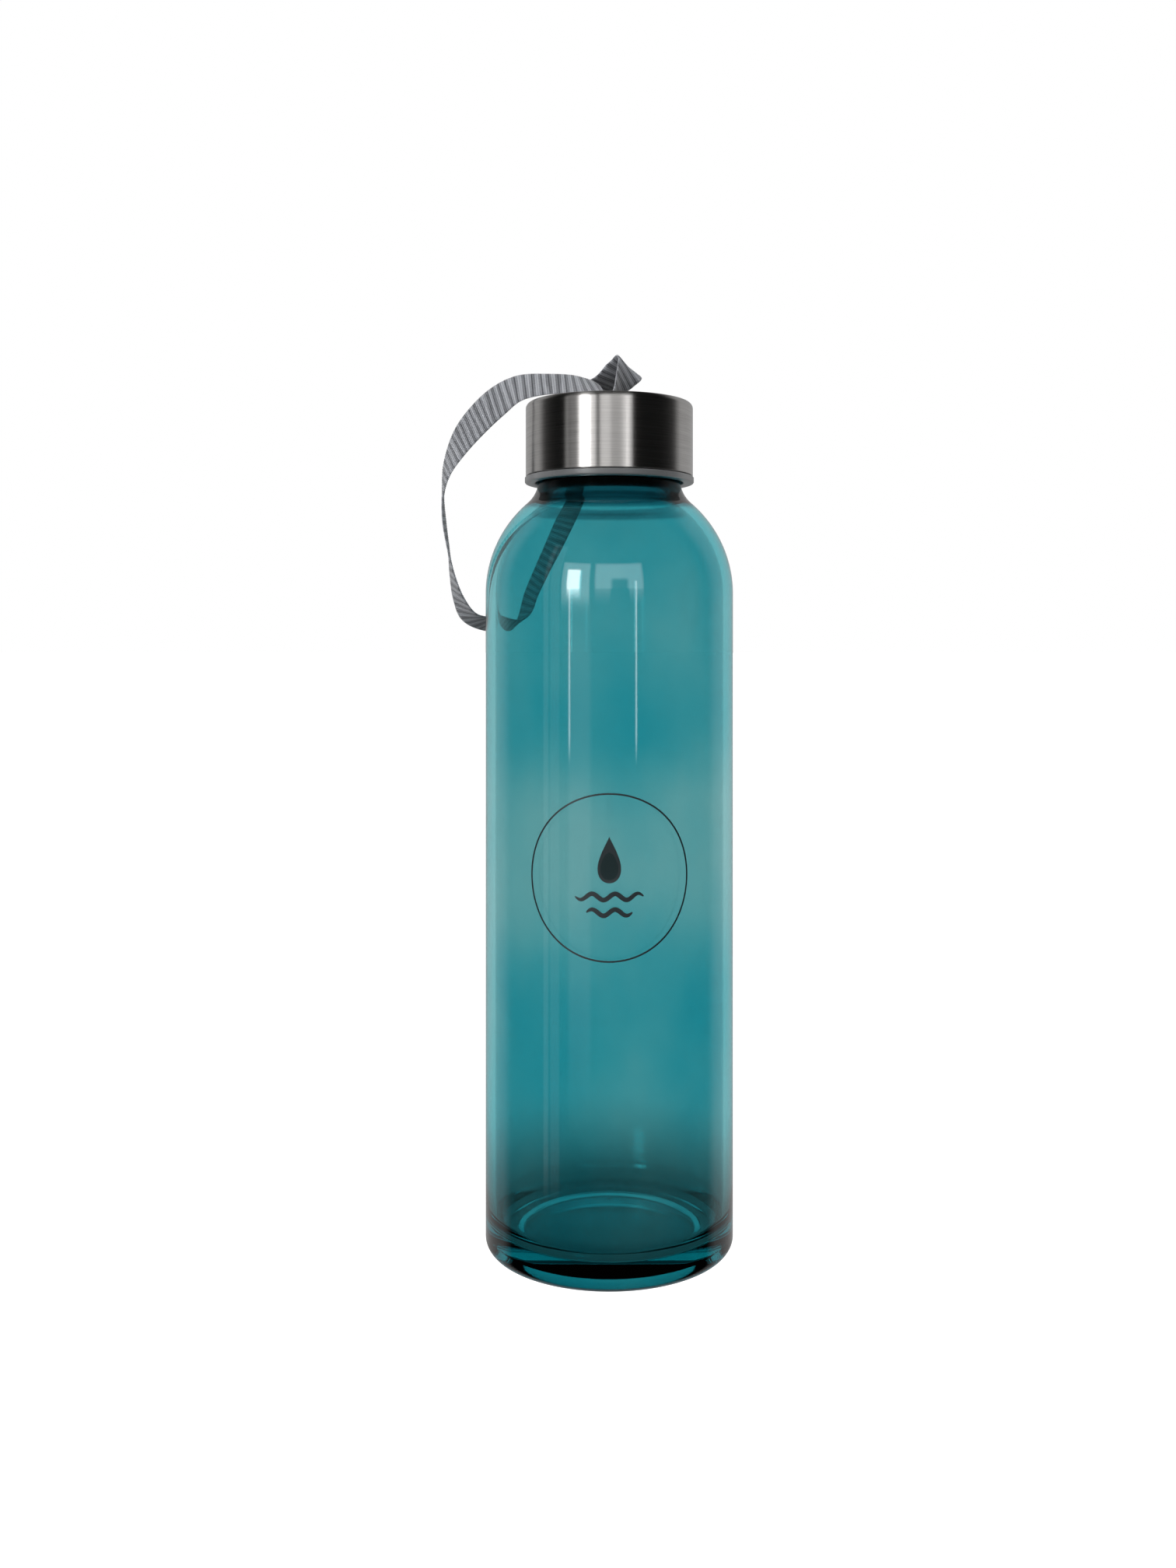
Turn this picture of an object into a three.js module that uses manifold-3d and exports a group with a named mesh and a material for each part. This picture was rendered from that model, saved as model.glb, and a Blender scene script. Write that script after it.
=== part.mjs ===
// A glass water bottle with a steel-clad screw cap and a woven carrying strap.
// Millimetres, +Z up. The origin is the centre of the base, on the surface that the bottle stands on.
import * as THREE from 'three';
import { mergeVertices } from 'three/addons/utils/BufferGeometryUtils.js';
import Module from 'manifold-3d';

const wasm = await Module();
wasm.setup();

// ---------------------------------------------------------------- driving dimensions

const SEGMENTS = 48; // facets round every turned piece
const GAP = 0.3; // clearance between pieces that touch on the real bottle
const OVERALL_HEIGHT = 221; // base to the top of the steel cap

const BODY = {
  radius: 32.5,
  wall: 2.5,
  heelRadius: 3,
  ringInner: 24.3, // inner edge of the ring that the bottle stands on
  puntRadius: 22, // edge of the dome pressed up into the base
  puntEdge: 1.4,
  puntHeight: 3,
  floorHeight: 6, // glass above the standing ring
  floorCrown: 1, // how much the inner floor rises to its centre
  innerHeel: 6,
  shoulderStart: 170.9, // height where the straight wall ends
  shoulderRadius: 31.3,
  neckFillet: 8.85,
  innerNeckFillet: 9.5,
};

const FINISH = {
  beadRadius: 18.6, // the neck just under the thread
  beadTop: 202,
  rootRadius: 17.6,
  boreRadius: 15.6,
  lipHeight: 213.9,
  lipRound: 0.7,
};

const THREAD = {
  pitch: 4.23, // six turns to the inch
  turns: 1.5,
  height: 0.95,
  rootWidth: 2.4,
  crestWidth: 1,
  startHeight: 205.2,
  embed: 0.4, // how far the rib reaches into the wall that carries it
  runOut: 1 / 12, // share of the helix that sinks into the wall at each end
};

const CAP_THREAD = {
  rootWidth: 1.5,
  crestWidth: 0.8,
  height: 1.05,
  dropBelowGlassThread: 1.75, // it bears on the underside of the bottle's thread
  startFacet: 8, // facets past the start of the bottle's thread
};

const SEAL = { innerRadius: 15, outerRadius: 18.4, thickness: 1.5, chamfer: 0.3 };

const SHELL = {
  radius: 22,
  thickness: 0.5,
  cornerRadius: 1.5,
  bottomHeight: 201.8,
  slotLength: 11, // along Y
  slotWidth: 2.6,
};

const INNER_CAP = {
  rimRadius: 22.25,
  rimBottom: 199.9,
  rimRound: 0.45,
  skirtBore: 19,
  mouthBore: 19.4,
  mouthHeight: 1.6,
  plateThickness: 1.6,
};

const ANCHOR = { length: 13, width: 7, grooveDepth: 1.3, round: 1.2 };

const STRAP = { width: 10, thickness: 0.7, chamfer: 0.2, steps: 80 };

// Heights that follow from those above.
const sealBottom = FINISH.lipHeight + GAP;
const plateBottom = sealBottom + SEAL.thickness + GAP;
const plateTop = plateBottom + INNER_CAP.plateThickness;
const shellCeiling = OVERALL_HEIGHT - SHELL.thickness;
const anchorBottom = plateTop + GAP;
const anchorTop = shellCeiling - GAP;
const strapEnd = anchorTop - ANCHOR.grooveDepth + GAP;

// The strap from one end, in the cap's slot, round the loop to the other end. Each row is a point
// of the centre line and the direction across the strap there.
const STRAP_ROUTE = [
  [-0.65, 0, strapEnd, 0, 1, 0],
  [-0.65, 0, 222, 0, 1, 0],
  [-2.8, -1.4, 224.7, 0, 0.9, 0.4],
  [-8.2, -3.6, 225.4, -0.02, 0.78, 0.62],
  [-15.6, -4.6, 225.5, -0.05, 0.74, 0.67],
  [-23.2, -4.6, 224.5, -0.14, 0.62, 0.77],
  [-29, -2.4, 221.5, -0.33, 0.46, 0.82],
  [-34.8, 1.8, 217.2, -0.35, 0.42, 0.84],
  [-40, 6.2, 211.9, -0.34, 0.56, 0.75],
  [-43.8, 9.8, 205.4, -0.28, 0.86, 0.42],
  [-45.2, 12, 198.6, -0.12, 0.98, 0.12],
  [-45, 13.2, 191.2, -0.03, 1, 0],
  [-44, 13.8, 184, -0.07, 1, 0],
  [-43, 14.8, 177, -0.2, 0.98, 0],
  [-41.4, 17, 170.6, -0.34, 0.93, -0.05],
  [-38.8, 20.5, 165.8, -0.38, 0.89, -0.2],
  [-34.6, 24.8, 163.6, -0.44, 0.83, -0.3],
  [-30.2, 28.8, 163.2, -0.54, 0.78, -0.28],
  [-27, 31.6, 166.2, -0.62, 0.77, -0.1],
  [-24.6, 32.4, 172, -0.62, 0.78, 0],
  [-21, 32, 179.5, -0.64, 0.77, 0],
  [-17, 31, 188, -0.7, 0.71, 0.02],
  [-13.4, 29.8, 197.5, -0.78, 0.62, 0.05],
  [-10.8, 28.8, 207, -0.88, 0.45, 0.1],
  [-9.4, 27.4, 216, -0.96, 0.2, 0.15],
  [-7.4, 22.6, 223.8, -0.94, -0.25, 0.15],
  [-4.2, 15.6, 227, -0.8, -0.55, 0.2],
  [-0.2, 9.8, 228.2, -0.66, -0.7, 0.26],
  [3, 6.2, 230.4, -0.62, -0.66, 0.4],
  [5, 3.6, 231.2, -0.62, -0.64, 0.44],
  [4, 1.6, 228.6, -0.44, -0.82, 0.34],
  [1.9, 0.4, 224.6, -0.14, -0.98, 0.1],
  [0.65, 0, 221.8, 0, -1, 0],
  [0.65, 0, strapEnd, 0, -1, 0],
];

// ---------------------------------------------------------------- helpers

const deg = THREE.MathUtils.degToRad;

function point(r, z) {
  return new THREE.Vector2(r, z);
}

// Points on a circle in the profile plane, from one angle to another, in degrees.
function arc(r, z, radius, from, to, steps) {
  const points = [];
  for (let i = 0; i <= steps; i++) {
    const angle = deg(from + ((to - from) * i) / steps);
    points.push(point(r + radius * Math.cos(angle), z + radius * Math.sin(angle)));
  }
  return points;
}

// A closed solid from a geometry: shared vertices merged, triangles of no area left out.
function solid(geometry) {
  const bare = geometry.clone();
  bare.deleteAttribute('normal');
  bare.deleteAttribute('uv');
  const merged = mergeVertices(bare);
  const index = merged.index.array;
  const triVerts = [];
  for (let i = 0; i < index.length; i += 3) {
    const [a, b, c] = index.slice(i, i + 3);
    if (a !== b && b !== c && c !== a) triVerts.push(a, b, c);
  }
  return new wasm.Manifold(
    new wasm.Mesh({
      numProp: 3,
      vertProperties: new Float32Array(merged.attributes.position.array),
      triVerts: new Uint32Array(triVerts),
    })
  );
}

// A profile of (radius, height) points turned about Z.
function turned(profile) {
  const geometry = new THREE.LatheGeometry(profile, SEGMENTS);
  geometry.rotateX(Math.PI / 2);
  return solid(geometry);
}

function block(sizeX, sizeY, sizeZ, bottom) {
  const geometry = new THREE.BoxGeometry(sizeX, sizeY, sizeZ);
  geometry.translate(0, 0, bottom + sizeZ / 2);
  return solid(geometry);
}

function piece(name, shape, material) {
  const { vertProperties, triVerts } = shape.getMesh();
  const geometry = new THREE.BufferGeometry();
  geometry.setAttribute('position', new THREE.BufferAttribute(vertProperties, 3));
  geometry.setIndex(new THREE.BufferAttribute(triVerts, 1));
  geometry.computeVertexNormals();
  const mesh = new THREE.Mesh(geometry, material);
  mesh.name = name;
  return mesh;
}

// ---------------------------------------------------------------- screw thread

// A helix about Z that climbs one pitch a turn and sinks into its wall at both ends. Its frames
// keep a swept section upright: the section's x points away from the axis and its y points down.
class ThreadPath extends THREE.Curve {
  constructor({ radius, startAngle, startHeight, turns, sink }) {
    super();
    Object.assign(this, { radius, startAngle, startHeight, turns, sink });
  }

  angleAt(t) {
    return this.startAngle + 2 * Math.PI * this.turns * t;
  }

  getPoint(t, target = new THREE.Vector3()) {
    const angle = this.angleAt(t);
    const fromEnd = Math.min(t, 1 - t) / THREAD.runOut;
    const radius = this.radius - this.sink * Math.max(0, 1 - fromEnd);
    return target.set(
      radius * Math.cos(angle),
      radius * Math.sin(angle),
      this.startHeight + THREAD.pitch * this.turns * t
    );
  }

  computeFrenetFrames(segments) {
    const tangents = [];
    const normals = [];
    const binormals = [];
    for (let i = 0; i <= segments; i++) {
      const t = this.getUtoTmapping(i / segments);
      const angle = this.angleAt(t);
      tangents.push(this.getTangent(t));
      normals.push(new THREE.Vector3(Math.cos(angle), Math.sin(angle), 0));
      binormals.push(new THREE.Vector3(0, 0, -1));
    }
    return { tangents, normals, binormals };
  }
}

// A rib of trapezium section along a helix. The section is drawn about the wall's surface, with
// outward +1 for a rib that stands out from the axis and -1 for one that points at it. It starts
// in the middle of a facet, so that its rings fall between the wall's own edges.
function threadRib({ wallRadius, outward, height, rootWidth, crestWidth, startFacet, startHeight }) {
  const flare = (rootWidth - crestWidth) / 2 / height;
  const buriedHalf = rootWidth / 2 + flare * THREAD.embed;
  const section = new THREE.Shape([
    point(-outward * THREAD.embed, -buriedHalf),
    point(outward * height, -crestWidth / 2),
    point(outward * height, crestWidth / 2),
    point(-outward * THREAD.embed, buriedHalf),
  ]);
  const path = new ThreadPath({
    radius: wallRadius,
    startAngle: ((startFacet + 0.5) / SEGMENTS) * 2 * Math.PI,
    startHeight,
    turns: THREAD.turns,
    sink: outward * (height + GAP / 3),
  });
  return solid(
    new THREE.ExtrudeGeometry(section, { steps: THREAD.turns * SEGMENTS, extrudePath: path })
  );
}

// ---------------------------------------------------------------- glass body

// Rises from the straight wall over a domed shoulder and a hollow fillet into the neck.
function shoulder(wallRadius, domeRadius, neckRadius, filletRadius, steps) {
  const domeCentre = wallRadius - domeRadius;
  const filletCentre = neckRadius + filletRadius;
  const across = filletCentre - domeCentre;
  const reach = domeRadius + filletRadius;
  const rise = Math.sqrt(reach * reach - across * across);
  const meeting = THREE.MathUtils.radToDeg(Math.atan2(rise, across));
  const top = BODY.shoulderStart + rise;
  return [
    ...arc(domeCentre, BODY.shoulderStart, domeRadius, 0, meeting, steps),
    ...arc(filletCentre, top, filletRadius, 180 + meeting, 180, steps - 2).slice(1),
  ];
}

// A shallow dome from the axis out to a given radius, without its last point.
function dome(crown, edgeRadius, edgeHeight, steps) {
  const points = [];
  for (let i = 0; i < steps; i++) {
    const r = (edgeRadius * i) / steps;
    points.push(point(r, crown - (crown - edgeHeight) * (r / edgeRadius) ** 2));
  }
  return points;
}

function glassBody() {
  const { radius, wall, heelRadius, innerHeel, floorHeight } = BODY;
  const { rootRadius, boreRadius, lipHeight, lipRound, beadRadius, beadTop } = FINISH;
  const innerRadius = radius - wall;
  const outside = [
    ...dome(BODY.puntHeight, BODY.puntRadius, BODY.puntEdge, 3),
    point(BODY.puntRadius, BODY.puntEdge),
    point(BODY.ringInner, 0),
    ...arc(radius - heelRadius, heelRadius, heelRadius, -90, 0, 4),
    ...shoulder(radius, BODY.shoulderRadius, beadRadius, BODY.neckFillet, 8),
    point(beadRadius, beadTop),
    point(rootRadius, beadTop + beadRadius - rootRadius),
    ...arc(rootRadius - lipRound, lipHeight - lipRound, lipRound, 0, 90, 3),
  ];
  const inside = [
    ...dome(floorHeight + BODY.floorCrown, innerRadius - innerHeel, floorHeight, 3),
    ...arc(innerRadius - innerHeel, floorHeight + innerHeel, innerHeel, -90, 0, 4),
    ...shoulder(innerRadius, BODY.shoulderRadius - wall, boreRadius, BODY.innerNeckFillet, 7),
    ...arc(boreRadius + lipRound, lipHeight - lipRound, lipRound, 180, 90, 3),
  ];
  const thread = threadRib({ ...THREAD, wallRadius: rootRadius, outward: 1, startFacet: 0 });
  return turned([...outside, ...inside.reverse()]).add(thread);
}

// ---------------------------------------------------------------- cap

function sealRing() {
  const { innerRadius, outerRadius, thickness, chamfer } = SEAL;
  const top = sealBottom + thickness;
  const ring = [
    point(innerRadius + chamfer, sealBottom),
    point(outerRadius - chamfer, sealBottom),
    point(outerRadius, sealBottom + chamfer),
    point(outerRadius, top - chamfer),
    point(outerRadius - chamfer, top),
    point(innerRadius + chamfer, top),
    point(innerRadius, top - chamfer),
    point(innerRadius, sealBottom + chamfer),
  ];
  return turned([...ring, ring[0].clone()]);
}

function innerCap() {
  const { rimRadius, rimBottom, rimRound, skirtBore, mouthBore, mouthHeight } = INNER_CAP;
  const rimTop = SHELL.bottomHeight - GAP;
  const skirtRadius = SHELL.radius - SHELL.thickness - GAP;
  const mouthTop = rimBottom + mouthHeight;
  const topRound = 1;
  const turnedBody = turned([
    point(0, plateBottom),
    point(skirtBore, plateBottom),
    point(skirtBore, mouthTop + mouthBore - skirtBore),
    point(mouthBore, mouthTop),
    point(mouthBore, rimBottom + rimRound),
    point(mouthBore + rimRound, rimBottom),
    ...arc(rimRadius - rimRound, rimBottom + rimRound, rimRound, -90, 0, 3),
    point(rimRadius, rimTop),
    point(skirtRadius, rimTop),
    ...arc(skirtRadius - topRound, plateTop - topRound, topRound, 0, 90, 2),
    point(0, plateTop),
  ]);
  const climbed = (THREAD.pitch * CAP_THREAD.startFacet) / SEGMENTS;
  const thread = threadRib({
    ...CAP_THREAD,
    wallRadius: skirtBore,
    outward: -1,
    startHeight: THREAD.startHeight + climbed - CAP_THREAD.dropBelowGlassThread,
  });
  return turnedBody.add(thread);
}

function capShell() {
  const { radius, thickness, cornerRadius, bottomHeight, slotLength, slotWidth } = SHELL;
  const cornerHeight = OVERALL_HEIGHT - cornerRadius;
  const cornerCentre = radius - cornerRadius;
  const pressed = turned([
    point(0, shellCeiling),
    ...arc(cornerCentre, cornerHeight, cornerRadius - thickness, 90, 0, 3),
    point(radius - thickness, bottomHeight),
    point(radius, bottomHeight),
    ...arc(cornerCentre, cornerHeight, cornerRadius, 0, 90, 4),
    point(0, OVERALL_HEIGHT),
  ]);
  const slot = block(slotWidth, slotLength, 4 * thickness, shellCeiling - thickness);
  return pressed.subtract(slot);
}

// A plastic tab wider than the slot, with a groove that holds both sewn ends of the strap.
function strapAnchor() {
  const { length, width, grooveDepth, round } = ANCHOR;
  const outline = new THREE.Shape();
  const halfX = width / 2;
  const halfY = length / 2;
  outline.moveTo(-halfX + round, -halfY);
  outline.lineTo(halfX - round, -halfY);
  outline.absarc(halfX - round, -halfY + round, round, -Math.PI / 2, 0);
  outline.absarc(halfX - round, halfY - round, round, 0, Math.PI / 2);
  outline.absarc(-halfX + round, halfY - round, round, Math.PI / 2, Math.PI);
  outline.absarc(-halfX + round, -halfY + round, round, Math.PI, 1.5 * Math.PI);
  const tab = new THREE.ExtrudeGeometry(outline, {
    depth: anchorTop - anchorBottom,
    bevelEnabled: false,
    curveSegments: 3,
  });
  tab.translate(0, 0, anchorBottom);
  const groove = block(SHELL.slotWidth, SHELL.slotLength, 2 * grooveDepth, anchorTop - grooveDepth);
  return solid(tab).subtract(groove);
}

// ---------------------------------------------------------------- strap

// A smooth line through the route's points whose frames follow the strap's own width, so that a
// swept section turns and twists as the strap does.
class StrapPath extends THREE.CatmullRomCurve3 {
  constructor(route) {
    super(route.map(([x, y, z]) => new THREE.Vector3(x, y, z)), false, 'catmullrom');
    this.across = new THREE.CatmullRomCurve3(
      route.map(([, , , x, y, z]) => new THREE.Vector3(x, y, z).normalize()),
      false,
      'catmullrom'
    );
  }

  computeFrenetFrames(segments) {
    const tangents = [];
    const normals = [];
    const binormals = [];
    for (let i = 0; i <= segments; i++) {
      const t = this.getUtoTmapping(i / segments);
      const tangent = this.getTangent(t);
      const across = this.across.getPoint(t);
      across.addScaledVector(tangent, -across.dot(tangent)).normalize();
      tangents.push(tangent);
      normals.push(new THREE.Vector3().crossVectors(across, tangent));
      binormals.push(across);
    }
    return { tangents, normals, binormals };
  }
}

function strap() {
  const { width, thickness, chamfer, steps } = STRAP;
  const halfX = thickness / 2;
  const halfY = width / 2;
  const section = new THREE.Shape([
    point(-halfX + chamfer, -halfY),
    point(halfX - chamfer, -halfY),
    point(halfX, -halfY + chamfer),
    point(halfX, halfY - chamfer),
    point(halfX - chamfer, halfY),
    point(-halfX + chamfer, halfY),
    point(-halfX, halfY - chamfer),
    point(-halfX, -halfY + chamfer),
  ]);
  return solid(
    new THREE.ExtrudeGeometry(section, { steps, extrudePath: new StrapPath(STRAP_ROUTE) })
  );
}

// ---------------------------------------------------------------- materials and assembly

const MATERIALS = {
  tealGlass: new THREE.MeshStandardMaterial({ color: 0x1f8a90, roughness: 0.05, metalness: 0 }),
  brushedSteel: new THREE.MeshStandardMaterial({ color: 0xb8b6b2, roughness: 0.3, metalness: 1 }),
  greyPlastic: new THREE.MeshStandardMaterial({ color: 0x8b8f90, roughness: 0.4, metalness: 0 }),
  clearSilicone: new THREE.MeshStandardMaterial({ color: 0xdfe2e2, roughness: 0.6, metalness: 0 }),
  whitePlastic: new THREE.MeshStandardMaterial({ color: 0xe4e4e0, roughness: 0.5, metalness: 0 }),
  greyRibbon: new THREE.MeshStandardMaterial({ color: 0x75787e, roughness: 0.85, metalness: 0 }),
};

const bottle = new THREE.Group();
bottle.add(piece('glass_body', glassBody(), MATERIALS.tealGlass));

const cap = new THREE.Group();
cap.add(
  piece('seal_ring', sealRing(), MATERIALS.clearSilicone),
  piece('inner_cap', innerCap(), MATERIALS.greyPlastic),
  piece('cap_shell', capShell(), MATERIALS.brushedSteel),
  piece('strap_anchor', strapAnchor(), MATERIALS.whitePlastic),
  piece('strap', strap(), MATERIALS.greyRibbon)
);
bottle.add(cap);

export default bottle;
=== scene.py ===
"""Blender looks for a tinted glass water bottle with a steel-clad cap and a ribbon strap.

The CAD frame gives every piece its place. Lengths here are millimetres in the CAD's own frame
until mesh_object() turns them into metres. Materials measure in metres, but for the ribbon's map.
"""

import math

import bpy
import numpy as np
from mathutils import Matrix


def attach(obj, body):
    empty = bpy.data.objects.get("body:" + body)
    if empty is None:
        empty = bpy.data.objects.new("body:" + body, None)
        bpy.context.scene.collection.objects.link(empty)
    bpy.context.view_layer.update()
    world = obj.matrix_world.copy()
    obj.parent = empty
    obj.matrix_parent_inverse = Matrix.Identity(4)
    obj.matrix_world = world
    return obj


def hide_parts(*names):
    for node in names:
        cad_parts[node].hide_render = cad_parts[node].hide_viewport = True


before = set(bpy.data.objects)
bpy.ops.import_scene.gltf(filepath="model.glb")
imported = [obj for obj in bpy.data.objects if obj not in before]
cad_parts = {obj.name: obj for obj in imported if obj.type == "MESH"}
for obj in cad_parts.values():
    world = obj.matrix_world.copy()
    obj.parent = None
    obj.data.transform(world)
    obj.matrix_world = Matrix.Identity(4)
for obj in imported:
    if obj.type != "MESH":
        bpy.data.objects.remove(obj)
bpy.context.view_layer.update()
MM = 0.001
TAU = 2 * math.pi

# ---------------------------------------------------------------- dimensions, as in the CAD

TURNS = 192  # points round a turned piece
OVERALL_HEIGHT = 221
BODY_RADIUS = 32.5
BODY_WALL = 2.5
HEEL_RADIUS = 3
SHOULDER_START = 170.9
SHOULDER_RADIUS = 31.3
NECK_RADIUS = 18.6
NECK_FILLET = 8.85
BEAD_TOP = 202
THREAD_ROOT = 17.6
BORE = 15.6
LIP_HEIGHT = 213.9
PITCH = 4.23
THREAD_START = 205.2
THREAD_TURNS = 1.5
SHELL_RADIUS = 22
SHELL_WALL = 0.5
SHELL_BOTTOM = 201.8
SLOT_HALF = (1.3, 5.5)  # half sizes of the strap's slot in the top of the cap
STRAP_WIDTH = 10
STRAP_THICKNESS = 0.7
RIB_PITCH = 0.62  # of the ribbon's crosswise ribs
STRAP_END = 219.2
PAINTED_RIPPLE_PITCH = 2.2  # of the broader light and dark bands of painted shade across the ribbon
BACK_SHIFT = 1600 * RIB_PITCH  # along the map, so the ribbon's two faces don't get the same painted shade and fibres
MARK_HEIGHT = 101.1  # of the middle of the printed mark
MARK_RADIUS = 20.3

# One row is a point of the strap's centre line and the direction across the strap there.
STRAP_ROUTE = [
    (-0.65, 0, STRAP_END, 0, 1, 0),
    (-0.65, 0, 222, 0, 1, 0),
    (-2.8, -1.4, 224.7, 0, 0.9, 0.4),
    (-8.2, -3.6, 225.4, -0.02, 0.78, 0.62),
    (-15.6, -4.6, 225.5, -0.05, 0.74, 0.67),
    (-23.2, -4.6, 224.5, -0.14, 0.62, 0.77),
    (-29, -2.4, 221.5, -0.33, 0.46, 0.82),
    (-34.8, 1.8, 217.2, -0.35, 0.42, 0.84),
    (-40, 6.2, 211.9, -0.34, 0.56, 0.75),
    (-43.8, 9.8, 205.4, -0.28, 0.86, 0.42),
    (-45.2, 12, 198.6, -0.12, 0.98, 0.12),
    (-45, 13.2, 191.2, -0.03, 1, 0),
    (-44, 13.8, 184, -0.07, 1, 0),
    (-43, 14.8, 177, -0.2, 0.98, 0),
    (-41.4, 17, 170.6, -0.34, 0.93, -0.05),
    (-38.8, 20.5, 165.8, -0.38, 0.89, -0.2),
    (-34.6, 24.8, 163.6, -0.44, 0.83, -0.3),
    (-30.2, 28.8, 163.2, -0.54, 0.78, -0.28),
    (-27, 31.6, 166.2, -0.62, 0.77, -0.1),
    (-24.6, 32.4, 172, -0.62, 0.78, 0),
    (-21, 32, 179.5, -0.64, 0.77, 0),
    (-17, 31, 188, -0.7, 0.71, 0.02),
    (-13.4, 29.8, 197.5, -0.78, 0.62, 0.05),
    (-10.8, 28.8, 207, -0.88, 0.45, 0.1),
    (-9.4, 27.4, 216, -0.96, 0.2, 0.15),
    (-7.4, 22.6, 223.8, -0.94, -0.25, 0.15),
    (-4.2, 15.6, 227, -0.8, -0.55, 0.2),
    (-0.2, 9.8, 228.2, -0.66, -0.7, 0.26),
    (3, 6.2, 230.4, -0.62, -0.66, 0.4),
    (5, 3.6, 231.2, -0.62, -0.64, 0.44),
    (4, 1.6, 228.6, -0.44, -0.82, 0.34),
    (1.9, 0.4, 224.6, -0.14, -0.98, 0.1),
    (0.65, 0, 221.8, 0, -1, 0),
    (0.65, 0, STRAP_END, 0, -1, 0),
]


# ---------------------------------------------------------------- camera

def look():
    """A level camera twelve body radii from the axis, above the middle of the bottle."""
    camera = bpy.data.objects.new("camera", bpy.data.cameras.new("camera"))
    bpy.context.scene.collection.objects.link(camera)
    camera.location = (0, -12 * BODY_RADIUS * MM, 0.71 * OVERALL_HEIGHT * MM)
    camera.rotation_euler = (math.radians(90), 0, 0)
    camera.data.lens = 33.95
    camera.data.shift_x = -0.0136
    camera.data.shift_y = -0.0873
    camera.data.clip_start = 0.01
    bpy.context.scene.camera = camera


look()


# ---------------------------------------------------------------- mesh helpers

def arc(r, z, radius, start, stop, steps):
    """Points (radius, height) on a circle, from one angle to another in degrees."""
    angles = np.radians(np.linspace(start, stop, steps + 1))
    return [(r + radius * math.cos(a), z + radius * math.sin(a)) for a in angles]


def line(a, b, steps):
    """Points from a to b, without a."""
    return [tuple(np.array(a) + (np.array(b) - np.array(a)) * i / steps) for i in range(1, steps + 1)]


def mesh_object(name, vertices, faces, material, body, sharp=35):
    """A smooth-shaded object in metres from points in millimetres, riding on a body."""
    mesh = bpy.data.meshes.new(name)
    mesh.from_pydata([tuple(c * MM for c in v) for v in vertices], [], faces)
    mesh.validate()
    mesh.shade_smooth()
    mesh.set_sharp_from_angle(angle=math.radians(sharp))
    mesh.materials.append(material)
    obj = bpy.data.objects.new(name, mesh)
    bpy.context.scene.collection.objects.link(obj)
    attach(obj, body)
    return obj


def ring(r, z, bump=None):
    """One loop of a turned surface. bump(angle, z) is added to its radius."""
    loop = []
    for i in range(TURNS):
        angle = TAU * i / TURNS
        radius = r + (bump(angle, z) if bump else 0)
        loop.append((radius * math.cos(angle), radius * math.sin(angle), z))
    return loop


def loft(loops, close_ends=False):
    """Vertices and quads through equal loops. The last loop joins the first, or each end gets a point."""
    count = len(loops[0])
    vertices = [p for loop in loops for p in loop]
    faces = []
    spans = len(loops) - 1 if close_ends else len(loops)
    for k in range(spans):
        a, b = k * count, ((k + 1) % len(loops)) * count
        for i in range(count):
            j = (i + 1) % count
            faces.append((a + i, a + j, b + j, b + i))
    if close_ends:
        for loop_start, flip in ((0, True), ((len(loops) - 1) * count, False)):
            pole = len(vertices)
            vertices.append((0, 0, vertices[loop_start][2]))
            for i in range(count):
                pair = (loop_start + i, loop_start + (i + 1) % count)
                faces.append((pair[1], pair[0], pole) if flip else (pair[0], pair[1], pole))
    return vertices, faces


def helix_rib(height, half_root, half_crest, start_height, start_angle, outward):
    """Radius to add for a screw thread: a rounded rib on a helix, sinking away at both ends."""
    def bump(angle, z):
        best = 0
        for turn in range(3):
            along = (angle - start_angle) % TAU / TAU + turn
            if along > THREAD_TURNS:
                continue
            away = abs(z - start_height - PITCH * along)
            run_out = min(1, along / 0.12, (THREAD_TURNS - along) / 0.12)
            side = np.clip((half_root - away) / (half_root - half_crest), 0, 1)
            best = max(best, height * run_out * side * side * (3 - 2 * side))
        return outward * best
    return bump


# ---------------------------------------------------------------- shader helpers

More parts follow.
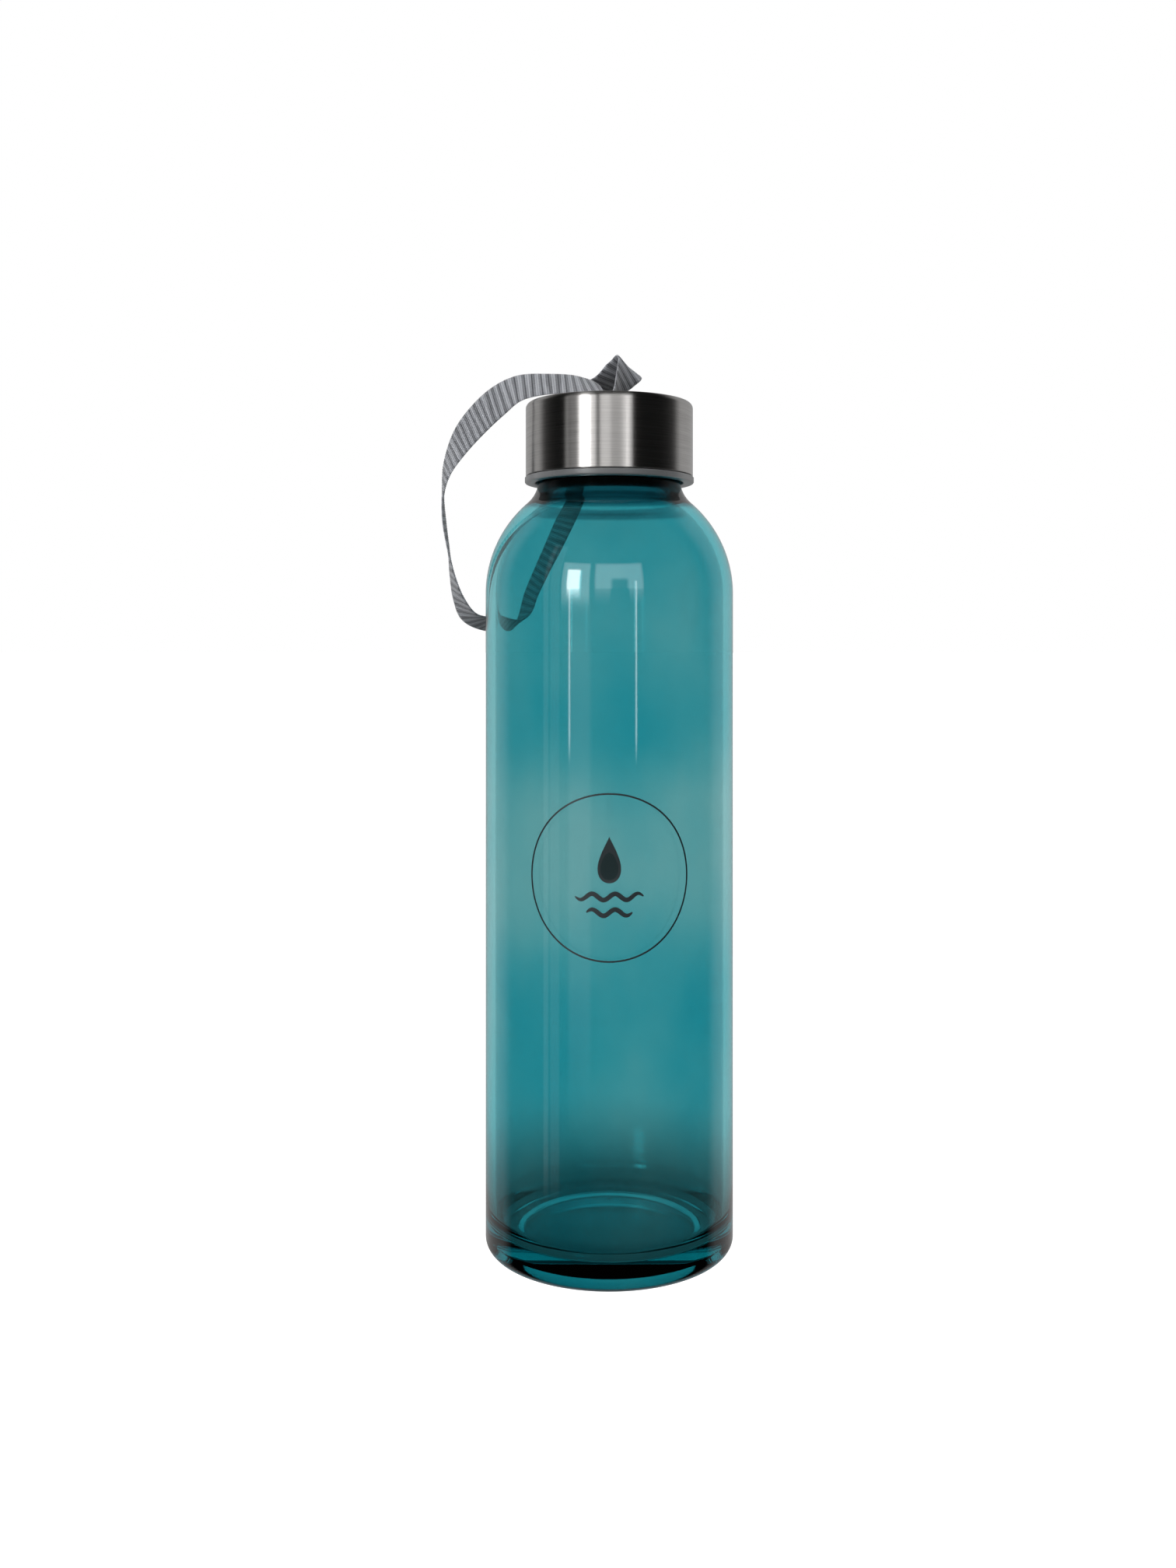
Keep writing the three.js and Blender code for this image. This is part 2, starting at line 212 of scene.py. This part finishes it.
class Shader:
    """A node material built around one Principled BSDF."""

    def __init__(self, name, **values):
        self.material = bpy.data.materials.new(name)
        self.material.use_nodes = True
        self.tree = self.material.node_tree
        self.bsdf = self.tree.nodes["Principled BSDF"]
        self.output = self.tree.nodes["Material Output"]
        for socket, value in values.items():
            self.bsdf.inputs[socket.replace("_", " ")].default_value = value

    def node(self, kind, inputs=None, **settings):
        node = self.tree.nodes.new(kind)
        for key, value in settings.items():
            setattr(node, key, value)
        for key, value in (inputs or {}).items():
            self.feed(node.inputs[key], value)
        return node

    def feed(self, socket, value):
        """Sets a socket to a value, or links it to another node's first output or to a socket."""
        if isinstance(value, bpy.types.Node):
            self.tree.links.new(value.outputs[0], socket)
        elif isinstance(value, bpy.types.NodeSocket):
            self.tree.links.new(value, socket)
        else:
            socket.default_value = value

    def coordinates(self, scale=(1, 1, 1)):
        """The object's own coordinates, scaled. All objects sit at the origin, in metres."""
        source = self.node("ShaderNodeTexCoord").outputs["Object"]
        return self.node("ShaderNodeMapping", {"Vector": source, "Scale": scale})

    def noise(self, vector, scale, detail=3, roughness=0.5):
        inputs = {"Vector": vector, "Scale": scale, "Detail": detail, "Roughness": roughness}
        return self.node("ShaderNodeTexNoise", inputs)

    def ramp(self, value, stops):
        """A colour ramp. stops are (position, colour or grey)."""
        node = self.node("ShaderNodeValToRGB", {"Fac": value})
        elements = node.color_ramp.elements
        while len(elements) < len(stops):
            elements.new(0.5)
        for element, (position, colour) in zip(elements, stops):
            element.position = position
            element.color = (*colour, 1) if hasattr(colour, "__len__") else (colour, colour, colour, 1)
        return node

    def span(self, value, low, high, to_low=0.0, to_high=1.0):
        inputs = {"Value": value, "From Min": low, "From Max": high, "To Min": to_low, "To Max": to_high}
        return self.node("ShaderNodeMapRange", inputs, interpolation_type="SMOOTHSTEP")

    def math(self, operation, *values):
        return self.node("ShaderNodeMath", dict(enumerate(values)), operation=operation)

    def bump(self, height, distance, strength=1.0):
        inputs = {"Height": height, "Distance": distance, "Strength": strength}
        self.feed(self.bsdf.inputs["Normal"], self.node("ShaderNodeBump", inputs))


# ---------------------------------------------------------------- materials

def teal_glass():
    """Clear glass under an uneven transparent tint, paler behind the mark, with painted shade darkening it
    at the neck and heel.
    """
    s = Shader("teal_glass", Roughness=0.0, IOR=1.5, Transmission_Weight=1.0)
    drift = s.noise(s.coordinates((1, 1, 0.6)), 34, 3)
    height = s.node("ShaderNodeSeparateXYZ", {0: s.coordinates()}).outputs["Z"]
    band = s.math("MULTIPLY", s.span(height, 0.066, 0.092), s.span(height, 0.112, 0.138, 1, 0))
    pale = s.math("ADD", s.math("MULTIPLY", band, 0.3), drift)
    tint = s.ramp(pale, [(0.4, (0.13, 0.51, 0.56)), (0.85, (0.42, 0.61, 0.62))])
    # painted shade: the glass is coloured darker at the fillet under the neck, the neck above it and the
    # heel
    fillet = s.math("MULTIPLY", s.span(height, 0.1934, 0.1944), s.span(height, 0.1952, 0.196, 1, 0))
    neck = s.math("MAXIMUM", fillet, s.span(height, 0.197, 0.1978))
    heel = s.span(height, 0.001, 0.0055, 0.75, 0)
    tint_with_painted_shade = s.node("ShaderNodeMix", {"Factor": s.math("MAXIMUM", neck, heel)}, data_type="RGBA")
    # of a colour mix, sockets 6 and 7 are A and B, and output 2 is the result
    s.feed(tint_with_painted_shade.inputs[6], tint)
    # B is the colour of the painted shade
    s.feed(tint_with_painted_shade.inputs[7], (0.025, 0.12, 0.15, 1))
    s.feed(s.bsdf.inputs["Base Color"], tint_with_painted_shade.outputs[2])
    absorption = s.node("ShaderNodeVolumeAbsorption", {"Color": (0.2, 0.8, 0.82, 1), "Density": 120})
    s.tree.links.new(absorption.outputs[0], s.output.inputs["Volume"])
    return s.material


def brushed_steel():
    """Stainless steel brushed round the cap: streaks that run round it, finer up and down."""
    s = Shader(
        "brushed_steel",
        Metallic=1.0,
        Roughness=0.3,
        Anisotropic=1.0,
        Anisotropic_Rotation=0.25,
    )
    tangent = s.node("ShaderNodeTangent", direction_type="RADIAL", axis="Z")
    s.feed(s.bsdf.inputs["Tangent"], tangent)
    streaks = s.noise(s.coordinates((60, 60, 3000)), 1.0, 4, 0.7)
    tone = s.ramp(streaks, [(0.3, (0.5, 0.487, 0.473)), (0.7, (0.68, 0.663, 0.648))])
    s.feed(s.bsdf.inputs["Base Color"], tone)
    s.feed(s.bsdf.inputs["Roughness"], s.span(streaks, 0.2, 0.8, 0.27, 0.32))
    return s.material


def grey_plastic():
    s = Shader(
        "grey_plastic",
        Base_Color=(0.13, 0.135, 0.14, 1),
        Roughness=0.32,
        Transmission_Weight=0.25,
        IOR=1.49,
    )
    s.bump(s.noise(s.coordinates(), 1800, 2), 0.00002, 0.4)
    return s.material


def silicone():
    s = Shader("silicone", Base_Color=(0.8, 0.82, 0.82, 1), Roughness=0.5, Transmission_Weight=0.3)
    s.bump(s.noise(s.coordinates(), 2500, 2), 0.00003, 0.4)
    return s.material


def white_plastic():
    s = Shader("white_plastic", Base_Color=(0.8, 0.8, 0.78, 1), Roughness=0.45)
    s.bump(s.noise(s.coordinates(), 1500, 2), 0.00002, 0.5)
    return s.material


def ribbon_fabric():
    """Woven ribbon, its waves and ribs given painted shade as light and dark bands. The map is in
    millimetres: x along the strap, y across it.
    """
    s = Shader(
        "grey_ribbon",
        Roughness=0.62,
        Sheen_Weight=0.35,
        Sheen_Roughness=0.4,
        Subsurface_Weight=0.5,
        Subsurface_Radius=(1, 1, 1),
        Subsurface_Scale=0.001,
    )
    place = s.node("ShaderNodeUVMap", uv_map="ribbon")
    along = s.node("ShaderNodeSeparateXYZ", {0: place.outputs[0]}).outputs["X"]
    threads = s.node("ShaderNodeMapping", {"Vector": place.outputs[0], "Scale": (0.9, 9, 1)})
    fibres = s.noise(threads.outputs[0], 1.0, 3, 0.6)
    lengthwise = s.node("ShaderNodeMapping", {"Vector": place.outputs[0], "Scale": (1, 0.12, 1)})
    uneven = s.noise(lengthwise.outputs[0], 0.5, 1)
    # painted shade: broad light and dark bands across the ribbon for its waves, and finer ones for its
    # ribs
    bands = s.math("MULTIPLY", along, TAU / PAINTED_RIPPLE_PITCH)
    painted_ripple_shade = s.math("COSINE", s.math("MULTIPLY_ADD", uneven, 5, bands))
    rib = s.math("COSINE", s.math("MULTIPLY", along, TAU / RIB_PITCH))
    weave_and_painted_shade = s.math("MULTIPLY_ADD", painted_ripple_shade, 0.13, s.math("MULTIPLY", rib, 0.07))
    shade = s.math("ADD", s.math("MULTIPLY_ADD", fibres, 0.35, 0.32), weave_and_painted_shade)
    tone = s.ramp(shade, [(0.3, (0.05, 0.053, 0.061)), (0.72, (0.37, 0.382, 0.41))])
    s.feed(s.bsdf.inputs["Base Color"], tone)
    s.bump(fibres, 0.00006, 0.5)
    return s.material


def ink():
    s = Shader("print_ink", Base_Color=(0.006, 0.014, 0.018, 1), Roughness=0.45)
    s.bump(s.noise(s.coordinates(), 3000, 2), 0.00001, 0.5)
    return s.material


# ---------------------------------------------------------------- glass

def shoulder(wall_radius, dome_radius, neck_radius, fillet_radius):
    """Rises from the straight wall over a domed shoulder and a hollow fillet into the neck."""
    dome_centre = wall_radius - dome_radius
    across = neck_radius + fillet_radius - dome_centre
    reach = dome_radius + fillet_radius
    rise = math.sqrt(reach**2 - across**2)
    meeting = math.degrees(math.atan2(rise, across))
    dome = arc(dome_centre, SHOULDER_START, dome_radius, 0, meeting, 28)
    top = SHOULDER_START + rise
    fillet = arc(neck_radius + fillet_radius, top, fillet_radius, 180 + meeting, 180, 14)
    return dome + fillet[1:]


def glass_body():
    inner_wall = BODY_RADIUS - BODY_WALL
    punt_radius, floor_radius, floor_corner = 22, 24, 6
    punt = [(r, 3 - 1.6 * (r / punt_radius) ** 2) for r in np.linspace(0.4, punt_radius, 12)]
    heel = arc(BODY_RADIUS - HEEL_RADIUS, HEEL_RADIUS, HEEL_RADIUS, -90, 0, 12)
    lip = 0.7
    lip_start = LIP_HEIGHT - lip
    threaded = line((THREAD_ROOT, BEAD_TOP + 1), (THREAD_ROOT, lip_start), 70)
    outside = [
        *punt,
        (22.7, 1.2),
        (24.0, 0.12),
        (24.7, 0.0),
        *heel,
        *line(heel[-1], (BODY_RADIUS, SHOULDER_START), 40)[:-1],
        *shoulder(BODY_RADIUS, SHOULDER_RADIUS, NECK_RADIUS, NECK_FILLET),
        *line((NECK_RADIUS, 201.3), (NECK_RADIUS, BEAD_TOP - 0.3), 2),
        (NECK_RADIUS - 0.12, BEAD_TOP - 0.05),
        (THREAD_ROOT + 0.25, BEAD_TOP + 0.7),
        (THREAD_ROOT, BEAD_TOP + 1),
        *threaded,
        *arc(THREAD_ROOT - lip, lip_start, lip, 0, 90, 8)[1:],
    ]
    inside = [
        *[(r, 7 - (r / floor_radius) ** 2) for r in np.linspace(0.4, floor_radius, 12)],
        *arc(floor_radius, 12, floor_corner, -90, 0, 14)[1:],
        *line((inner_wall, 12), (inner_wall, SHOULDER_START), 30)[:-1],
        *shoulder(inner_wall, SHOULDER_RADIUS - BODY_WALL, BORE, 9.5),
        *line((BORE, 203), (BORE, lip_start), 4)[:-1],
        *arc(BORE + lip, lip_start, lip, 180, 90, 8),
    ]
    thread = helix_rib(
        height=0.95,
        half_root=1.2,
        half_crest=0.45,
        start_height=THREAD_START,
        start_angle=0.5 / 48 * TAU,
        outward=1,
    )
    outer = [ring(r, z, thread if r > 17 and z > BEAD_TOP + 1 else None) for r, z in outside]
    inner = [ring(r, z) for r, z in reversed(inside)]
    vertices, faces = loft(outer + inner, close_ends=True)
    glass = mesh_object("glass_bottle", vertices, faces, teal_glass(), "bottle", 60)
    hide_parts("glass_body")


def on_glass(u, v, height):
    """A point of the print: u round the glass and v up from its middle, height off the surface."""
    angle = u / BODY_RADIUS - math.pi / 2
    radius = BODY_RADIUS + height
    return (radius * math.cos(angle), radius * math.sin(angle), MARK_HEIGHT + v)


def stroke(points, width):
    """Left and right edges of a pen stroke along points, with ends cut square."""
    points = np.array(points, float)
    along = np.gradient(points, axis=0)
    along /= np.linalg.norm(along, axis=1)[:, None]
    side = np.stack([-along[:, 1], along[:, 0]], 1) * np.reshape(width, (-1, 1)) / 2
    return points + side, points - side


def emblem():
    """A generic printed mark: a thin ring round a water drop and two waves."""
    turn = np.linspace(0, TAU, 193)
    ring_line = MARK_RADIUS * np.stack([np.cos(turn), np.sin(turn)], 1)
    waves = []
    for height, half in ((-4.6, 8.4), (-8.4, 5.6)):
        u = np.linspace(-half, half, 65)
        waves.append(np.stack([u, height + 0.75 * np.sin(u * TAU / 5.6)], 1))
    vertices, faces = [], []

    def add(left, right, closed=False):
        start = len(vertices)
        for a, b in zip(left, right):
            for (u, v), height in ((a, 0.05), (b, 0.05), (b, 0.01), (a, 0.01)):
                vertices.append(on_glass(u, v, height))
        count = len(left)
        for k in range(count if closed else count - 1):
            a, b = start + 4 * k, start + 4 * ((k + 1) % count)
            for i in range(4):
                j = (i + 1) % 4
                faces.append((a + i, a + j, b + j, b + i))
        if not closed:
            last = start + 4 * (count - 1)
            faces.append((start + 3, start + 2, start + 1, start))
            faces.append((last, last + 1, last + 2, last + 3))

    left, right = stroke(ring_line[:-1], 0.42)
    add(left, right, closed=True)
    for wave in waves:
        taper = 1.15 * np.sqrt(np.clip(1.02 - np.linspace(-1, 1, len(wave)) ** 4, 0.05, 1))
        add(*stroke(wave, taper))
    half = np.linspace(0, math.pi, 49)
    drop_height = 4.3 + 5.6 * np.cos(half)
    drop_width = 3.9 * np.sin(half) * np.sin(half / 2) ** 1.3 + 0.02
    add(np.stack([-drop_width, drop_height], 1), np.stack([drop_width, drop_height], 1))
    mesh_object("printed_mark", vertices, faces, ink(), "bottle")


# ---------------------------------------------------------------- cap

def slot_outline(half_x, half_y, z):
    """A rounded slot with as many points as a ring, each at its own angle round the axis."""
    corner = min(half_x, 1.1)
    loop = []
    for i in range(TURNS):
        angle = TAU * i / TURNS
        direction = np.array([math.cos(angle), math.sin(angle)])
        low, high = 0.0, 20.0
        for _ in range(30):
            middle = (low + high) / 2
            p = np.abs(direction * middle)
            q = np.maximum(p - [half_x - corner, half_y - corner], 0)
            inside = np.hypot(*q) < corner and p[0] <= half_x and p[1] <= half_y
            low, high = (middle, high) if inside else (low, middle)
        loop.append((direction[0] * low, direction[1] * low, z))
    return loop


def blend_loops(a, b, share):
    return [tuple(np.array(p) * (1 - share) + np.array(q) * share) for p, q in zip(a, b)]


def cap_shell(steel):
    """The pressed steel cover: a cup with a slot in its top, one closed skin."""
    ceiling = OVERALL_HEIGHT - SHELL_WALL
    corner = 1.5
    centre_r, centre_z = SHELL_RADIUS - corner, OVERALL_HEIGHT - corner
    top_slot = slot_outline(*SLOT_HALF, OVERALL_HEIGHT)
    low_slot = slot_outline(*SLOT_HALF, ceiling)
    inner_wall = SHELL_RADIUS - SHELL_WALL
    outer_disc, inner_disc = ring(centre_r, OVERALL_HEIGHT), ring(centre_r, ceiling)
    shares = (0.15, 0.4, 0.7)
    loops = [low_slot, *[blend_loops(low_slot, inner_disc, t) for t in shares]]
    loops += [ring(r, z) for r, z in arc(centre_r, centre_z, corner - SHELL_WALL, 90, 0, 10)]
    loops += [ring(inner_wall, z) for z in (213, 206, SHELL_BOTTOM + 0.15)]
    loops += [ring(r, SHELL_BOTTOM) for r in (inner_wall + 0.12, SHELL_RADIUS - 0.12)]
    loops += [ring(SHELL_RADIUS, z) for z in (SHELL_BOTTOM + 0.12, 204, 208, 212, 216)]
    loops += [ring(r, z) for r, z in arc(centre_r, centre_z, corner, 0, 90, 12)]
    loops += [blend_loops(outer_disc, top_slot, t) for t in (0.3, 0.6, 0.85, 0.98)]
    loops.append([(x, y, OVERALL_HEIGHT - 0.06) for x, y, _ in top_slot])
    vertices, faces = loft(loops)
    faces = [f[::-1] for f in faces]
    shell = mesh_object("steel_cap_shell", vertices, faces, steel, "cap")
    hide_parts("cap_shell")


def inner_cap():
    """The moulded liner: a flat plate, a threaded skirt, and the rim that shows under the steel."""
    rim, bore, mouth = 22.25, 19, 19.4
    rim_low, rim_high, rim_corner = 199.9, 201.5, 0.45
    plate_low, plate_high, plate_corner = 216.0, 217.6, 1
    outer = SHELL_RADIUS - SHELL_WALL - 0.3
    profile = [
        (0.4, plate_low),
        *line((0.4, plate_low), (bore, plate_low), 4),
        *line((bore, plate_low), (bore, 201.9), 84),
        (mouth, rim_high),
        (mouth, 200.35),
        (mouth + 0.13, 200.03),
        (mouth + rim_corner, rim_low),
        *arc(rim - rim_corner, rim_low + rim_corner, rim_corner, -90, 0, 6),
        (rim, rim_high - 0.15),
        (rim - 0.15, rim_high),
        (outer, rim_high),
        *line((outer, rim_high), (outer, plate_high - plate_corner), 4),
        *arc(outer - plate_corner, plate_high - plate_corner, plate_corner, 0, 90, 6)[1:],
        *line((outer - plate_corner, plate_high), (0.4, plate_high), 4),
    ]
    thread = helix_rib(
        height=1.05,
        half_root=0.75,
        half_crest=0.4,
        start_height=THREAD_START + PITCH * 8 / 48 - 1.75,
        start_angle=8.5 / 48 * TAU,
        outward=-1,
    )
    threaded = [ring(r, z, thread if r == bore and z < plate_low - 0.1 else None) for r, z in profile]
    vertices, faces = loft(threaded, close_ends=True)
    faces = [f[::-1] for f in faces]
    liner = mesh_object("cap_liner", vertices, faces, grey_plastic(), "cap")
    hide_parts("inner_cap")


def seal():
    low, high, inner, outer, c = 214.2, 215.7, 15, 18.4, 0.3
    corners = [(inner + c, low + c), (outer - c, low + c), (outer - c, high - c), (inner + c, high - c)]
    profile = []
    for (r, z), start in zip(corners, (180, 270, 0, 90)):
        profile += arc(r, z, c, start, start + 90, 5)
    vertices, faces = loft([ring(r, z) for r, z in profile])
    gasket = mesh_object("silicone_seal", vertices, faces, silicone(), "seal")
    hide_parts("seal_ring")


# ---------------------------------------------------------------- strap

def smooth_line(points, steps):
    """Points on a Catmull-Rom curve through the given ones."""
    points = np.array(points, float)
    padded = np.vstack([2 * points[0] - points[1], points, 2 * points[-1] - points[-2]])
    t = np.linspace(0, 1, steps, endpoint=False)[:, None]
    spans = []
    for p0, p1, p2, p3 in zip(padded, padded[1:], padded[2:], padded[3:]):
        m0, m1 = (p2 - p0) / 2, (p3 - p1) / 2
        spans.append(
            (2 * t**3 - 3 * t**2 + 1) * p1
            + (t**3 - 2 * t**2 + t) * m0
            + (3 * t**2 - 2 * t**3) * p2
            + (t**3 - t**2) * m1
        )
    return np.vstack([*spans, points[-1:]])


def unit(vectors):
    return vectors / np.linalg.norm(vectors, axis=1)[:, None]


def strap():
    """The ribbon, with its weft ribs and rolled edges as real shape."""
    per_rib, columns = 6, 20
    route = np.array(STRAP_ROUTE, float)
    centre = smooth_line(route[:, :3], 60)
    across = smooth_line(unit(route[:, 3:]), 60)
    steps = np.linalg.norm(np.diff(centre, axis=0), axis=1)
    distance = np.concatenate([[0], np.cumsum(steps)])
    length = distance[-1]
    stations = np.linspace(0, length, int(length / RIB_PITCH * per_rib) + 1)
    centre = np.stack([np.interp(stations, distance, centre[:, i]) for i in range(3)], 1)
    across = np.stack([np.interp(stations, distance, across[:, i]) for i in range(3)], 1)
    tangent = unit(np.gradient(centre, axis=0))
    across = unit(across - tangent * np.sum(across * tangent, axis=1)[:, None])
    normal = np.cross(across, tangent)
    rib = 0.06 * np.cos(stations / RIB_PITCH * TAU)
    side = np.linspace(-1, 1, columns + 1)
    edge = np.sqrt(np.clip(1 - np.abs(side) ** 10, 0, 1))
    half = STRAP_THICKNESS / 2 - 0.06
    vertices, places = [], []
    for k, s in enumerate(stations):
        for face in (1, -1):
            for v, e in list(zip(side, edge))[::face]:
                lift = face * (half * (0.25 + 0.75 * e) + rib[k] * e)
                offset = across[k] * v * (STRAP_WIDTH / 2 - 0.1) + normal[k] * lift
                vertices.append(tuple(centre[k] + offset))
                places.append((s + (0 if face > 0 else BACK_SHIFT), v * STRAP_WIDTH / 2))
    row = 2 * (columns + 1)
    faces = []
    for k in range(len(stations) - 1):
        for i in range(row):
            j = (i + 1) % row
            a, b = k * row, (k + 1) * row
            faces.append((a + i, a + j, b + j, b + i))
    last = (len(stations) - 1) * row
    for i in range(columns):
        faces.append((i + 1, i, row - 1 - i, row - 2 - i))
        faces.append((last + i, last + i + 1, last + row - 2 - i, last + row - 1 - i))
    ribbon = mesh_object("ribbon_strap", vertices, faces, ribbon_fabric(), "cap", 80)
    layer = ribbon.data.uv_layers.new(name="ribbon")
    for loop in ribbon.data.loops:
        layer.data[loop.index].uv = places[loop.vertex_index]
    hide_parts("strap")


# ---------------------------------------------------------------- studio

# left, right, lowest, highest, softness, brightness; the first five in degrees. Less than 0 darkens.
PANELS = [
    (-44, -18, 2, 26, 1.0, 2.5),
    (-39, -27, 3, 20, 1.0, 14.0),
    (-37, -35.5, -4, 4, 0.7, 6.0),
    (-13, 31, 3, 26, 1.5, 2.6),
    (2, 17, -6, 12, 2.5, -2.4),
    (23.5, 25, -4, 10, 0.7, 6.0),
    (-62, -57, -20, 40, 1.0, 0.5),
    (-55, -46, -20, 40, 1.0, 0.35),
    (-37, -17, -16, 2, 3.0, 0.5),
]


def studio():
    """A pale floor with a painted contact shadow round the bottle, seen through the glass, and a room
    painted on the sky: panels for reflections, one soft light for the rest.
    """
    world = bpy.data.worlds.new("studio")
    bpy.context.scene.world = world
    world.use_nodes = True
    tree = world.node_tree
    background = tree.nodes["Background"]

    def math_node(operation, *values):
        node = tree.nodes.new("ShaderNodeMath")
        node.operation = operation
        for socket, value in zip(node.inputs, values):
            if isinstance(value, bpy.types.NodeSocket):
                tree.links.new(value, socket)
            else:
                socket.default_value = value
        return node.outputs[0]

    def step(value, low, high):
        node = tree.nodes.new("ShaderNodeMapRange")
        node.interpolation_type = "SMOOTHSTEP"
        tree.links.new(value, node.inputs["Value"])
        node.inputs["From Min"].default_value = low
        node.inputs["From Max"].default_value = high
        return node.outputs[0]

    direction = tree.nodes.new("ShaderNodeTexCoord").outputs["Generated"]
    parts = tree.nodes.new("ShaderNodeSeparateXYZ")
    tree.links.new(direction, parts.inputs[0])
    x, y, z = parts.outputs
    degrees = 180 / math.pi
    azimuth = math_node("MULTIPLY", math_node("ARCTAN2", x, math_node("MULTIPLY", y, -1)), degrees)
    elevation = math_node("MULTIPLY", math_node("ARCSINE", z), degrees)

    def panel(left, right, low, high, soft, brightness):
        """Light between two azimuths (0 is straight at the camera) and two elevations."""
        edges = [
            step(azimuth, left - soft, left + soft),
            math_node("SUBTRACT", 1, step(azimuth, right - soft, right + soft)),
            step(elevation, low - soft, low + soft),
            math_node("SUBTRACT", 1, step(elevation, high - soft, high + soft)),
        ]
        product = edges[0]
        for edge in edges[1:]:
            product = math_node("MULTIPLY", product, edge)
        return math_node("MULTIPLY", product, brightness)

    # the room behind the bottle, up to well above it
    away = math_node("ABSOLUTE", azimuth)
    low_down = math_node("SUBTRACT", 1, step(elevation, 35, 55))
    behind = math_node("MULTIPLY", step(away, 98, 116), 0.42)
    room = math_node("MULTIPLY", behind, low_down)
    for values in PANELS:
        room = math_node("ADD", room, panel(*values))
    room = math_node("MAXIMUM", room, 0.01)
    # what lights rough surfaces: brightest from the left, behind the camera
    facing = tree.nodes.new("ShaderNodeVectorMath")
    facing.operation = "DOT_PRODUCT"
    tree.links.new(direction, facing.inputs[0])
    facing.inputs[1].default_value = (-0.48, -0.84, 0.26)
    soft = math_node("MULTIPLY_ADD", step(facing.outputs["Value"], -0.1, 1), 1.15, 0.55)
    ray = tree.nodes.new("ShaderNodeLightPath").outputs
    direct = math_node("MAXIMUM", ray["Is Camera Ray"], ray["Is Transmission Ray"])
    strength = math_node("MULTIPLY_ADD", math_node("SUBTRACT", soft, room), ray["Is Diffuse Ray"], room)
    strength = math_node("MAXIMUM", strength, direct)
    tree.links.new(strength, background.inputs["Strength"])
    background.inputs["Color"].default_value = (1, 1, 1, 1)

    s = Shader("pale_floor", Base_Color=(0.08, 0.08, 0.08, 1), Roughness=0.9, Specular_IOR_Level=0)
    s.bsdf.inputs["Emission Color"].default_value = (1, 1, 1, 1)
    ray = s.node("ShaderNodeLightPath").outputs
    spread = s.node("ShaderNodeVectorMath", {0: s.coordinates()}, operation="LENGTH")
    # painted shadow: the floor glows less close to the bottle, where it is seen through the glass
    painted_contact_shadow = s.span(spread.outputs["Value"], 0.034, 0.14, 0.15, 0.92)
    through_glass = s.math("MULTIPLY", painted_contact_shadow, ray["Is Transmission Ray"])
    seen = s.math("MULTIPLY", ray["Is Camera Ray"], 1.2)
    bounced = s.math("MULTIPLY", ray["Is Diffuse Ray"], 0.3)
    glow = s.math("MAXIMUM", bounced, s.math("MAXIMUM", through_glass, seen))
    s.feed(s.bsdf.inputs["Emission Strength"], glow)
    mesh = bpy.data.meshes.new("floor")
    size = 40
    corners = [(-size, -size, 0), (size, -size, 0), (size, size, 0), (-size, size, 0)]
    mesh.from_pydata(corners, [], [(0, 1, 2, 3)])
    mesh.materials.append(s.material)
    floor = bpy.data.objects.new("floor", mesh)
    floor.location = (0, 0, -0.1 * MM)
    floor.visible_glossy = False
    bpy.context.scene.collection.objects.link(floor)


glass_body()
emblem()
cap_shell(brushed_steel())
inner_cap()
seal()
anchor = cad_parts["strap_anchor"]
anchor.data.materials.clear()
anchor.data.materials.append(white_plastic())
strap()
studio()

scene = bpy.context.scene
scene.view_settings.view_transform = "Standard"
scene.cycles.max_bounces = 24
scene.cycles.transmission_bounces = 20
